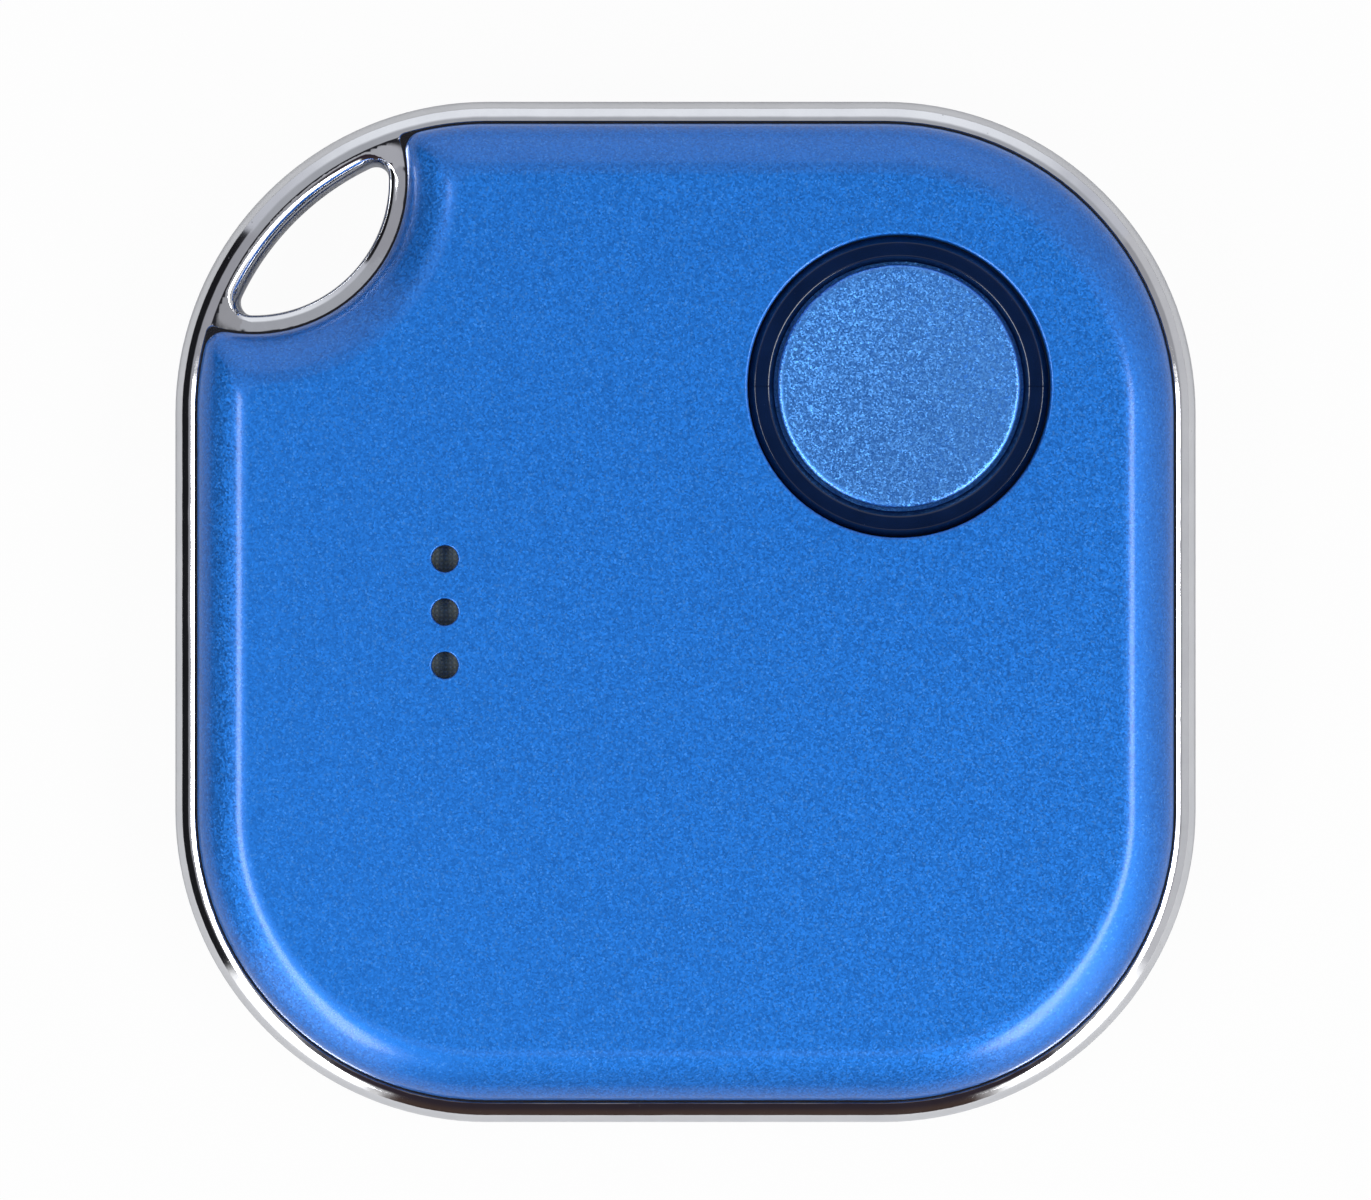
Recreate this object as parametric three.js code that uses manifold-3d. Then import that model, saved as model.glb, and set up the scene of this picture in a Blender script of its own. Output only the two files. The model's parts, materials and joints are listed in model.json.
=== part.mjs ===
// A square Bluetooth tracker tag with a push button, a ring light, a buzzer and a key loop, built as its
// separate pieces. Millimetres, +Z up. The tag lies on its back: the origin is the middle of the back face,
// the button faces +Z, and the key loop is at the -X +Y corner.
import * as THREE from "three";
import { mergeVertices } from "three/addons/utils/BufferGeometryUtils.js";
import Module from "manifold-3d";

const wasm = await Module();
wasm.setup();

// ---------------------------------------------------------------- driving dimensions

const THICKNESS = 6.0;
const MID_Z = THICKNESS / 2;
const CORNER_CENTRE = 7.0; // every outline's corner arcs are struck from (+-7, +-7)

// Covers: two shells that close on a plated frame between them.
const COVER_R = 10.16; // corner radius of the covers, so each is 34.3 mm square
const COVER_SKIN = 0.8;
const COVER_EDGE = 2.1; // height of a cover from its face to its rim
// A cover's rounded edge as arcs that run into each other: inset from the side, and slope there in degrees.
const EDGE_SLOPES = [[0, 80], [0.45, 45], [1.38, 24], [1.93, 0]];
const EDGE_STEPS = 2; // facets in each arc
const SKIRT_OUT = 0.95; // the skirt that plugs into the frame, as insets from the cover's outline
const SKIRT_IN = 1.6;
const SKIRT_DEPTH = 0.6;

// The notch that clears the key loop.
const NOTCH = new THREE.Vector2(-15.2, 15.2);
const NOTCH_R = 5.44;
const TIP_R = 0.7;
const SHARP_TIP_R = 0.05;

// Frame: a rounded band, with a lens-shaped loop in one corner.
const BAND_R = 11.0; // corner radius at its widest, so the tag is 36 mm square
const BAND_EDGE_R = 10.3; // corner radius at its top and bottom edges
const BAND_HALF_H = 1.25;
const BAND_STEPS = 8;
const BAND_GAP = 0.1; // the shadow gap between the band and a cover
const LEDGE_HALF_H = 0.85; // the covers' rims stop this far from the middle plane
const BAND_WALL_INSET = 0.85;
const LOOP_OUTER_R = 9.64; // the loop's two arcs at the middle plane, where it is narrowest
const LOOP_INNER_R = 4.75;
const LOOP_TIP_R = 0.5;
const STRUT_ROUND = 0.6; // how far each side of the loop falls back towards its top and bottom edges
const RIM_ROUND = 0.28;

// Button, ring light and sound holes.
const BUTTON = new THREE.Vector2(7.47, 7.9);
const BUTTON_R = 4.26;
const BUTTON_HOLE_R = 5.3;
const BUTTON_TOP = 5.85;
const LIGHT_TOP = 5.6;
const LED_RING_R = 5.15;
const LED_ANGLES = [0, 60, 120, 180, 300]; // the coin cell is in the way at 240 degrees
const SOUND_X = -8.41;
const SOUND_PITCH = 1.86;
const SOUND_R = 0.47;

// Coin cell: 20 mm across and 3.2 mm thick.
const CELL = new THREE.Vector2(-1.0, -4.0);
const CELL_R = 10.0;
const CELL_BOTTOM = 1.2;
const CELL_TOP = CELL_BOTTOM + 3.2;

// Battery door: it slides out towards -Y on two rails, and a screw at its inner end clamps its fork.
const DOOR_HALF_W = 12.0;
const DOOR_END_Y = 9.1;
const DOOR_CORNER_R = 2.0;
const DOOR_WALL_TOP = 1.68;
const DOOR_GAP = 0.05; // clearance above the door and its rails
const SEAM = 0.1; // the seam round the door
const GRIP_GROOVES = 5;
const RAIL_W = 0.8;
const RAIL_Z = [0.85, 1.3];
const SCREW = new THREE.Vector2(0, 7.4);
const SCREW_HEAD_R = 1.3;
const SCREW_SHANK_R = 0.6;
const SCREW_HEAD_Z = [0.08, 0.55];
const SCREW_TIP_Z = 2.9;

// Inner tray and circuit board.
const TRAY_Z = [1.4, 1.9];
const TRAY_INSET = 1.8;
const TRAY_RING_R = [10.2, 10.9];
const TRAY_RING_TOP = 4.1;
const BOARD_Z = [2.0, 2.8];
const BOARD_INSET = 1.9;
const BOARD_CUTOUT_R = 11.1;
const BOARD_LEG_END_Y = -10;
const STAKES = [[13.4, -8.2], [-13.6, -8.2], [12.2, 11.6]];
const REAR_PADS = [[14.2, 3], [-14.2, 3], [14.2, -6], [-14.2, -6], [-4, 13], [4, 13]]; // they carry the tray
const FRONT_POSTS = [[14.2, -6], [-13.9, -5.9], [0.4, 10.6], [-11.6, 7.6]]; // they hold the board down
const SOLDER = 0.05; // every part on the board stands this far above it
const PART_Z = BOARD_Z[1] + SOLDER;

const CORNER_STEPS = 8;
const ROUND_STEPS = 32;
const FAR = 30; // past every face of the tag

// ---------------------------------------------------------------- materials

const material = (color, roughness, metalness) =>
  new THREE.MeshStandardMaterial({ color, roughness, metalness });
const BLUE_PAINT = material(0x2468d0, 0.42, 0.45);
const CHROME = material(0xd8dade, 0.06, 1.0);
const SMOKED_PLASTIC = material(0x10142a, 0.12, 0.0);
const BLACK_PLASTIC = material(0x18191b, 0.55, 0.0);
const STEEL = material(0xb9bcc0, 0.3, 1.0);
const BRASS = material(0xc9a24a, 0.3, 1.0);
const CERAMIC = material(0xe8e2d2, 0.6, 0.0);
const BOARD_GREEN = material(0x14532d, 0.45, 0.0);
const FOAM = material(0x2b2b2d, 0.95, 0.0);
const NYLON = material(0x3a3b40, 0.7, 0.0);
const CAPACITOR = material(0x9a7b52, 0.6, 0.0);
const LED_RESIN = material(0xf2efe2, 0.4, 0.0);

// ---------------------------------------------------------------- solids

// A closed three.js geometry as a manifold-3d solid.
function solid(geometry) {
  const bare = geometry.index ? geometry.toNonIndexed() : geometry.clone();
  bare.deleteAttribute("normal");
  bare.deleteAttribute("uv");
  const merged = mergeVertices(bare, 1e-4);
  const vertProperties = merged.attributes.position.array;
  const triVerts = new Uint32Array(merged.index.array);
  return new wasm.Manifold(new wasm.Mesh({ numProp: 3, vertProperties, triVerts }));
}

// A manifold-3d solid as a three.js geometry.
function geometryOf(made) {
  const { vertProperties, triVerts } = made.getMesh();
  const geometry = new THREE.BufferGeometry();
  geometry.setAttribute("position", new THREE.BufferAttribute(vertProperties, 3));
  geometry.setIndex(new THREE.BufferAttribute(triVerts, 1));
  geometry.computeVertexNormals();
  return geometry;
}

function box([x0, x1], [y0, y1], [z0, z1]) {
  const geometry = new THREE.BoxGeometry(x1 - x0, y1 - y0, z1 - z0);
  return solid(geometry.translate((x0 + x1) / 2, (y0 + y1) / 2, (z0 + z1) / 2));
}

function cylinder(at, radius, [z0, z1], steps = ROUND_STEPS) {
  const geometry = new THREE.CylinderGeometry(radius, radius, z1 - z0, steps).rotateX(Math.PI / 2);
  return solid(geometry.translate(at.x, at.y, (z0 + z1) / 2));
}

// A solid turned about a vertical axis from its half section, given as [radius, height] pairs.
function turned(at, profile, steps = ROUND_STEPS) {
  const points = profile.map(([r, z]) => new THREE.Vector2(r, z));
  const geometry = new THREE.LatheGeometry(points, steps).rotateX(Math.PI / 2);
  return solid(geometry.translate(at.x, at.y, 0));
}

function prism(points, [z0, z1]) {
  const settings = { depth: z1 - z0, bevelEnabled: false };
  const geometry = new THREE.ExtrudeGeometry(new THREE.Shape(points), settings);
  return solid(geometry.translate(0, 0, z0));
}

// A closed skin over rings of equal length, each an outline and a height, with flat ends.
function loft(rings) {
  const count = rings[0].points.length;
  const positions = rings.flatMap(({ points, z }) => points.flatMap((p) => [p.x, p.y, z]));
  const index = [];
  for (let k = 0; k + 1 < rings.length; k++) {
    for (let i = 0; i < count; i++) {
      const [a, b] = [k * count + i, k * count + ((i + 1) % count)];
      index.push(a, b, b + count, a, b + count, a + count);
    }
  }
  const top = (rings.length - 1) * count;
  const facesOf = (ring) => THREE.ShapeUtils.triangulateShape(ring.points, []);
  for (const [a, b, c] of facesOf(rings[0])) index.push(a, c, b);
  for (const [a, b, c] of facesOf(rings.at(-1))) index.push(top + a, top + b, top + c);
  const geometry = new THREE.BufferGeometry();
  geometry.setAttribute("position", new THREE.Float32BufferAttribute(positions, 3));
  return solid(geometry.setIndex(index));
}

// ---------------------------------------------------------------- outlines

function arc(centre, radius, from, to, steps) {
  const curve = new THREE.EllipseCurve(centre.x, centre.y, radius, radius, from, to, to < from);
  return curve.getPoints(steps);
}

const point = ([x, y]) => new THREE.Vector2(x, y);
const angleTo = (from, to) => Math.atan2(to.y - from.y, to.x - from.x);
const mirrored = (p) => new THREE.Vector2(-p.y, -p.x); // across the diagonal that the loop sits on
const corner = (sx, sy) => new THREE.Vector2(sx * CORNER_CENTRE, sy * CORNER_CENTRE);

// Where circles about a and b meet, on the +Y side of the loop's diagonal.
function circlesMeet(a, ra, b, rb) {
  const apart = a.distanceTo(b);
  const along = (ra * ra - rb * rb + apart * apart) / (2 * apart);
  const across = Math.sqrt(ra * ra - along * along);
  const direction = b.clone().sub(a).divideScalar(apart);
  const sideways = new THREE.Vector2(direction.y, -direction.x);
  return a.clone().addScaledVector(direction, along).addScaledVector(sideways, across);
}

// Three plain corners, counterclockwise from the -X side round to the +Y side.
function threeCorners(radius) {
  return [
    ...arc(corner(-1, -1), radius, Math.PI, 1.5 * Math.PI, CORNER_STEPS),
    ...arc(corner(1, -1), radius, 1.5 * Math.PI, 2 * Math.PI, CORNER_STEPS),
    ...arc(corner(1, 1), radius, 0, 0.5 * Math.PI, CORNER_STEPS),
  ];
}

// A rounded square with corners of this radius.
function squareOutline(radius) {
  return [...threeCorners(radius), ...arc(corner(-1, 1), radius, 0.5 * Math.PI, Math.PI, CORNER_STEPS)];
}

// The covers' outline, moved in by an inset: a rounded square with the notch cut out of its loop corner.
function coverOutline(inset, tipR = TIP_R) {
  const centre = corner(-1, 1);
  const radius = COVER_R - inset;
  const notchR = NOTCH_R + inset;
  const tip = Math.max(tipR - inset, SHARP_TIP_R);
  const upper = circlesMeet(centre, radius - tip, NOTCH, notchR + tip);
  const lower = mirrored(upper);
  const cornerAngle = angleTo(centre, upper);
  const notchAngle = angleTo(NOTCH, upper);
  const notchEnd = angleTo(NOTCH, lower);
  return [
    ...threeCorners(radius),
    ...arc(centre, radius, 0.5 * Math.PI, cornerAngle, 3),
    ...arc(upper, tip, cornerAngle, notchAngle + Math.PI, 4).slice(1),
    ...arc(NOTCH, notchR, notchAngle, notchEnd, CORNER_STEPS).slice(1),
    ...arc(lower, tip, notchEnd + Math.PI, 1.5 * Math.PI - cornerAngle, 4).slice(1),
    ...arc(centre, radius, 1.5 * Math.PI - cornerAngle, Math.PI, 3).slice(1),
  ];
}

// The loop's opening, moved out by separate amounts on its strut side and its rim side.
function loopOutline(strut, rim) {
  const centre = corner(-1, 1);
  const outerR = LOOP_OUTER_R + strut;
  const innerR = LOOP_INNER_R + rim;
  const tip = LOOP_TIP_R + rim;
  const upper = circlesMeet(centre, outerR - tip, NOTCH, innerR - tip);
  const lower = mirrored(upper);
  const outerAngle = angleTo(centre, upper);
  const innerAngle = angleTo(NOTCH, upper);
  const innerEnd = angleTo(NOTCH, lower);
  return [
    ...arc(centre, outerR, outerAngle, 1.5 * Math.PI - outerAngle, 8),
    ...arc(lower, tip, 1.5 * Math.PI - outerAngle, innerEnd + 2 * Math.PI, 4).slice(1),
    ...arc(NOTCH, innerR, innerEnd, innerAngle, 8).slice(1),
    ...arc(upper, tip, innerAngle, outerAngle, 4).slice(1, -1),
  ];
}

// ---------------------------------------------------------------- casing

// The outside of the front cover as a solid block, and the same block turned over for the rear.
function coverRings() {
  const rim = THICKNESS - COVER_EDGE;
  const rings = [
    { z: rim - SKIRT_DEPTH, points: coverOutline(SKIRT_OUT) },
    { z: rim, points: coverOutline(SKIRT_OUT) },
    { z: rim, points: coverOutline(0) },
  ];
  return rings.concat(edgeProfile().map(([inset, z]) => ({ z, points: coverOutline(inset) })));
}

// The rounded edge from its foot to the flat face, as [inset, height] pairs.
function edgeProfile() {
  const slopes = EDGE_SLOPES.map(([inset, degrees]) => [inset, THREE.MathUtils.degToRad(degrees)]);
  const profile = [[slopes.at(-1)[0], THICKNESS]];
  for (let k = slopes.length - 1; k > 0; k--) {
    const [[lowInset, low], [highInset, high]] = [slopes[k - 1], slopes[k]];
    const radius = (highInset - lowInset) / (Math.sin(low) - Math.sin(high));
    const start = profile.at(-1)[1];
    for (let i = 1; i <= EDGE_STEPS; i++) {
      const slope = high + ((low - high) * i) / EDGE_STEPS;
      const inset = highInset - radius * (Math.sin(slope) - Math.sin(high));
      profile.push([inset, start - radius * (Math.cos(high) - Math.cos(slope))]);
    }
  }
  return profile.reverse();
}

const turnedOver = (rings) => rings.map(({ z, points }) => ({ z: THICKNESS - z, points })).reverse();

function frontCover() {
  const ceiling = THICKNESS - COVER_SKIN;
  let cover = loft(coverRings());
  cover = cover.subtract(prism(coverOutline(SKIRT_IN), [0, ceiling]));
  cover = cover.subtract(cylinder(BUTTON, BUTTON_HOLE_R, [ceiling - 1, FAR]));
  for (const step of [-1, 0, 1]) {
    const at = new THREE.Vector2(SOUND_X, step * SOUND_PITCH);
    cover = cover.subtract(cylinder(at, SOUND_R, [ceiling - 1, FAR], 16));
  }
  for (const at of FRONT_POSTS) cover = cover.add(cylinder(point(at), 0.6, [PART_Z, ceiling + 0.2], 12));
  return cover;
}

function rearCover() {
  const inside = [COVER_SKIN, FAR];
  let cover = loft(turnedOver(coverRings()));
  cover = cover.subtract(prism(coverOutline(SKIRT_IN), inside));
  cover = cover.subtract(prism(doorPlan(SEAM), [-FAR, DOOR_WALL_TOP + DOOR_GAP]));
  const railEdge = DOOR_HALF_W + RAIL_W + SEAM;
  const railEnd = DOOR_END_Y - DOOR_CORNER_R + SEAM;
  cover = cover.subtract(box([-railEdge, railEdge], [-FAR, railEnd], [COVER_SKIN, RAIL_Z[1] + DOOR_GAP]));
  for (const at of REAR_PADS) {
    cover = cover.add(cylinder(point(at), 0.6, [COVER_SKIN - 0.2, TRAY_Z[0] - DOOR_GAP], 12));
  }
  return cover;
}

function loopFrame() {
  const outside = [];
  const opening = [];
  for (let i = 0; i <= BAND_STEPS; i++) {
    const a = (i / BAND_STEPS - 0.5) * Math.PI;
    const z = MID_Z + BAND_HALF_H * Math.sin(a);
    const fallBack = 1 - Math.cos(a);
    outside.push({ z, points: squareOutline(BAND_EDGE_R + (BAND_R - BAND_EDGE_R) * Math.cos(a)) });
    opening.push({ z, points: loopOutline(STRUT_ROUND * fallBack, RIM_ROUND * fallBack) });
  }
  const widest = loopOutline(STRUT_ROUND, RIM_ROUND);
  opening.unshift({ z: 0, points: widest });
  opening.push({ z: THICKNESS, points: widest });
  const seat = coverOutline(-BAND_GAP, 0);
  return loft(outside)
    .subtract(prism(coverOutline(BAND_WALL_INSET), [0, THICKNESS]))
    .subtract(prism(seat, [MID_Z + LEDGE_HALF_H, FAR]))
    .subtract(prism(seat, [-FAR, MID_Z - LEDGE_HALF_H]))
    .subtract(loft(opening));
}

// ---------------------------------------------------------------- battery door

// The door's outline from below: straight sides that run out past -Y, and two rounded inner corners.
function doorPlan(gap) {
  const [w, end, r] = [DOOR_HALF_W + gap, DOOR_END_Y + gap, DOOR_CORNER_R + gap];
  return [
    point([-w, -FAR]),
    point([w, -FAR]),
    ...arc(point([w - r, end - r]), r, 0, 0.5 * Math.PI, 5),
    ...arc(point([r - w, end - r]), r, 0.5 * Math.PI, Math.PI, 5),
  ];
}

function batteryDoor() {
  const blank = loft(turnedOver(coverRings()));
  let door = blank
    .intersect(prism(doorPlan(0), [-1, DOOR_WALL_TOP]))
    .subtract(prism(coverOutline(SKIRT_IN - 0.2), [COVER_SKIN, FAR]));
  for (const side of [-1, 1]) {
    const span = (a, b) => [side * a, side * b].sort((p, q) => p - q);
    const reach = [-FAR, DOOR_END_Y - DOOR_CORNER_R];
    const rail = box(span(DOOR_HALF_W - 0.8, DOOR_HALF_W + RAIL_W), reach, RAIL_Z);
    const web = box(span(DOOR_HALF_W - 0.8, DOOR_HALF_W), reach, [COVER_SKIN - 0.1, RAIL_Z[1]]);
    door = door.add(rail.add(web).intersect(blank));
  }
  // The fork: a thicker tongue whose slot and head recess both open towards +Y.
  const forkTop = 0.9;
  door = door.add(box([-2.4, 2.4], [SCREW.y - 2.6, DOOR_END_Y], [COVER_SKIN - 0.1, forkTop]));
  const slot = (r, z) => cylinder(SCREW, r, z, 24).add(box([-r, r], [SCREW.y, FAR], z));
  for (let i = 0; i < GRIP_GROOVES; i++) {
    const y = -9 - i * 1.1;
    door = door.subtract(box([-4, 4], [y - 0.5, y], [-1, 0.25]));
  }
  return door
    .subtract(slot(SCREW_HEAD_R + 0.15, [-1, SCREW_HEAD_Z[1] + DOOR_GAP]))
    .subtract(slot(SCREW_SHANK_R + 0.15, [-1, FAR]));
}

function doorScrew() {
  const [underside, top] = SCREW_HEAD_Z;
  const head = turned(SCREW, [
    [0, underside],
    [SCREW_HEAD_R - 0.15, underside],
    [SCREW_HEAD_R, underside + 0.12],
    [SCREW_HEAD_R, top],
    [SCREW_SHANK_R, top],
    [SCREW_SHANK_R, SCREW_TIP_Z - 0.25],
    [SCREW_SHANK_R - 0.25, SCREW_TIP_Z],
    [0, SCREW_TIP_Z],
  ], 24);
  const slotDepth = 0.25;
  const blade = (angle) =>
    solid(
      new THREE.BoxGeometry(1.5, 0.3, slotDepth * 2).rotateZ(angle).translate(SCREW.x, SCREW.y, underside),
    );
  return head.subtract(blade(Math.PI / 4)).subtract(blade(-Math.PI / 4));
}

const doorPad = () => box([-6, 4], [-8, 0], [COVER_SKIN + 0.01, CELL_BOTTOM - 0.05]);

// ---------------------------------------------------------------- coin cell and its contacts

function cellCan() {
  const rim = CELL_TOP - 0.25;
  return turned(CELL, [
    [0, CELL_BOTTOM],
    [CELL_R - 0.35, CELL_BOTTOM],
    [CELL_R - 0.1, CELL_BOTTOM + 0.1],
    [CELL_R, CELL_BOTTOM + 0.35],
    [CELL_R, rim - 0.4],
    [CELL_R - 0.2, rim - 0.1],
    [CELL_R - 0.6, rim],
    [CELL_R - 0.7, rim],
    [CELL_R - 0.7, rim - 0.25],
    [0, rim - 0.25],
  ]);
}

function cellGasket() {
  const low = CELL_TOP - 0.47;
  return turned(CELL, [
    [CELL_R - 1.05, low],
    [CELL_R - 0.74, low],
    [CELL_R - 0.74, CELL_TOP - 0.18],
    [CELL_R - 1.05, CELL_TOP - 0.18],
    [CELL_R - 1.05, low],
  ]);
}

function cellCap() {
  const radius = CELL_R - 1.1;
  return turned(CELL, [
    [0, CELL_TOP - 0.47],
    [radius, CELL_TOP - 0.47],
    [radius, CELL_TOP - 0.15],
    [radius - 0.2, CELL_TOP],
    [0, CELL_TOP],
  ]);
}

const METAL = 0.15; // thickness of the contact strips

// A strip from the board, up over the tray's ring and out across the cell's cap.
function negativeContact() {
  const across = [-4.8, -1.8];
  const leafZ = [CELL_TOP + 0.06, CELL_TOP + 0.06 + METAL];
  const riserY = 8.3;
  return box(across, [riserY, riserY + 1.8], [PART_Z, PART_Z + METAL])
    .add(box(across, [riserY, riserY + METAL], [PART_Z, leafZ[1]]))
    .add(box(across, [-3, riserY + METAL], leafZ))
    .subtract(box([-3.7, -2.9], [-4, 5.2], [CELL_TOP, FAR]));
}

// A strip from the board through a slot in the tray's ring, turned down against the side of the can.
function positiveContact() {
  const along = [-5.2, -2.8];
  const sideX = CELL.x + CELL_R + 0.1;
  return box([sideX, sideX + 4.1], along, [PART_Z, PART_Z + METAL]).add(
    box([sideX, sideX + METAL], along, [TRAY_Z[1] + 0.1, PART_Z + METAL]),
  );
}

// ---------------------------------------------------------------- tray and board

function innerTray() {
  const stake = (at) => cylinder(point(at), 0.5, [TRAY_Z[1] - 0.1, BOARD_Z[1] + 0.3], 16);
  const outline = coverOutline(TRAY_INSET);
  let tray = prism(outline, TRAY_Z);
  tray = tray.add(cylinder(CELL, TRAY_RING_R[1], [TRAY_Z[0], TRAY_RING_TOP]));
  tray = tray.add(cylinder(SCREW, 1.5, [0.95, 3.3], 24));
  for (const at of STAKES) tray = tray.add(stake(at));
  const sideX = CELL.x + CELL_R;
  return tray
    .subtract(cylinder(CELL, TRAY_RING_R[0], [0, FAR]))
    .subtract(cylinder(SCREW, SCREW_SHANK_R + 0.08, [0, FAR], 24))
    .subtract(box([sideX - 1, sideX + 2.5], [-5.6, -2.4], [TRAY_Z[1], FAR]))
    .intersect(prism(outline, [0, THICKNESS]));
}

function circuitBoard() {
  let board = prism(coverOutline(BOARD_INSET), BOARD_Z);
  board = board.subtract(cylinder(CELL, BOARD_CUTOUT_R, [0, FAR]));
  board = board.subtract(box([-FAR, FAR], [-FAR, BOARD_LEG_END_Y], [0, FAR]));
  board = board.subtract(cylinder(SCREW, 1.7, [0, FAR], 24));
  for (const at of STAKES) board = board.subtract(cylinder(point(at), 0.6, [0, FAR], 16));
  return board;
}

// A chip or other block on the board, by its middle and its size.
function onBoard([x, y], [width, depth, height], lift = 0) {
  return box(
    [x - width / 2, x + width / 2],
    [y - depth / 2, y + depth / 2],
    [PART_Z + lift, PART_Z + lift + height],
  );
}

// ---------------------------------------------------------------- button, switch and ring light

function buttonCap() {
  const flangeZ = [4.55, 4.88];
  const dish = 0.14;
  return turned(BUTTON, [
    [0, 4.45],
    [0.9, 4.45],
    [0.9, 5.1],
    [3.6, 5.1],
    [3.6, flangeZ[0]],
    [4.65, flangeZ[0]],
    [4.65, flangeZ[1]],
    [BUTTON_R, flangeZ[1]],
    [BUTTON_R, BUTTON_TOP - 0.15],
    [BUTTON_R - 0.05, BUTTON_TOP - 0.05],
    [BUTTON_R - 0.16, BUTTON_TOP],
    [BUTTON_R / 2, BUTTON_TOP - 0.75 * dish],
    [0, BUTTON_TOP - dish],
  ]);
}

// The light guide: a ring with a lip over the button's flange, a flange under the cover, and a foot over
// each LED.
function lightRing() {
  let ring = turned(BUTTON, [
    [4.8, 4.5],
    [5.5, 4.5],
    [5.5, 4.75],
    [6.1, 4.75],
    [6.1, 5.15],
    [5.24, 5.15],
    [5.24, LIGHT_TOP - 0.18],
    [5.03, LIGHT_TOP],
    [4.58, LIGHT_TOP],
    [4.38, LIGHT_TOP - 0.18],
    [4.38, 4.93],
    [4.8, 4.93],
    [4.8, 4.5],
  ]);
  for (const degrees of LED_ANGLES) ring = ring.add(cylinder(ledPlace(degrees), 0.32, [3.55, 4.6], 12));
  return ring;
}

function ledPlace(degrees) {
  const a = THREE.MathUtils.degToRad(degrees);
  return BUTTON.clone().add(new THREE.Vector2(LED_RING_R * Math.cos(a), LED_RING_R * Math.sin(a)));
}

const SWITCH_TOP = PART_Z + 1.0;

function switchHousing() {
  return onBoard([BUTTON.x, BUTTON.y], [3.0, 2.6, 1.0]).subtract(cylinder(BUTTON, 0.85, [3.1, FAR], 24));
}

function switchShield() {
  const [halfW, halfD] = [1.5, 1.3];
  const z = [SWITCH_TOP + 0.02, SWITCH_TOP + 0.12];
  const x = [BUTTON.x - halfW - 0.15, BUTTON.x + halfW + 0.15];
  let shield = box(x, [BUTTON.y - halfD, BUTTON.y + halfD], z);
  for (const side of [-1, 1]) {
    const leg = [side * (halfW + 0.03), side * (halfW + 0.15)].map((x) => BUTTON.x + x).sort((a, b) => a - b);
    shield = shield.add(box(leg, [BUTTON.y - 0.6, BUTTON.y + 0.6], [PART_Z, z[1]]));
  }
  return shield.subtract(cylinder(BUTTON, 0.78, [0, FAR], 24));
}

const switchPlunger = () => cylinder(BUTTON, 0.65, [3.4, 4.42], 24);

// ---------------------------------------------------------------- buzzer

const SOUND = new THREE.Vector2(SOUND_X, 0);
const BUZZER_R = 6.0;
const PLATE_Z = [4.88, 4.98];

function buzzerGasket() {
  const z = [PLATE_Z[1] + 0.02, THICKNESS - COVER_SKIN - 0.02];
  return cylinder(SOUND, BUZZER_R, z).subtract(cylinder(SOUND, BUZZER_R - 0.9, [0, FAR]));
}

const buzzerPlate = () => cylinder(SOUND, BUZZER_R, PLATE_Z);
const buzzerCeramic = () => cylinder(SOUND, 4.0, [PLATE_Z[0] - 0.12, PLATE_Z[0] - 0.02]);
const buzzerMesh = () => box([SOUND.x - 1.3, SOUND.x + 1.3], [-3.4, 3.4], [5.08, 5.17]);

// A bent spring on the board that rises to touch the buzzer.
function buzzerContact([x, y], top) {
  const across = [y - 0.4, y + 0.4];
  return box([x - 0.9, x + 0.9], across, [PART_Z, PART_Z + 0.12])
    .add(box([x + 0.75, x + 0.9], across, [PART_Z, top]))
    .add(box([x - 0.6, x + 0.9], across, [top - 0.12, top]));
}

// ---------------------------------------------------------------- assembly

const tag = new THREE.Group();

function add(name, made, finish) {
  const mesh = new THREE.Mesh(geometryOf(made), finish);
  mesh.name = name;
  tag.add(mesh);
}

add("front_cover", frontCover(), BLUE_PAINT);
add("loop_frame", loopFrame(), CHROME);
add("rear_cover", rearCover(), BLUE_PAINT);
add("battery_door", batteryDoor(), BLUE_PAINT);
add("door_pad", doorPad(), FOAM);
add("door_screw", doorScrew(), STEEL);

add("button_cap", buttonCap(), BLUE_PAINT);
add("light_ring", lightRing(), SMOKED_PLASTIC);
add("switch_housing", switchHousing(), BLACK_PLASTIC);
add("switch_shield", switchShield(), STEEL);
add("switch_plunger", switchPlunger(), BLACK_PLASTIC);

add("inner_tray", innerTray(), BLACK_PLASTIC);
add("circuit_board", circuitBoard(), BOARD_GREEN);
add("cell_can", cellCan(), STEEL);
add("cell_cap", cellCap(), STEEL);
add("cell_gasket", cellGasket(), BLACK_PLASTIC);
add("positive_contact", positiveContact(), BRASS);
add("negative_contact", negativeContact(), BRASS);

add("buzzer_mesh", buzzerMesh(), NYLON);
add("buzzer_gasket", buzzerGasket(), FOAM);
add("buzzer_plate", buzzerPlate(), BRASS);
add("buzzer_ceramic", buzzerCeramic(), CERAMIC);
add("buzzer_contact_1", buzzerContact([-11.9, 1.6], PLATE_Z[0] - 0.14), BRASS);
add("buzzer_contact_2", buzzerContact([-13.6, 3.2], PLATE_Z[0] - 0.02), BRASS);

LED_ANGLES.forEach((degrees, i) => {
  const at = ledPlace(degrees);
  add(`led_${i + 1}`, onBoard([at.x, at.y], [1.6, 0.8, 0.6]), LED_RESIN);
});

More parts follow.
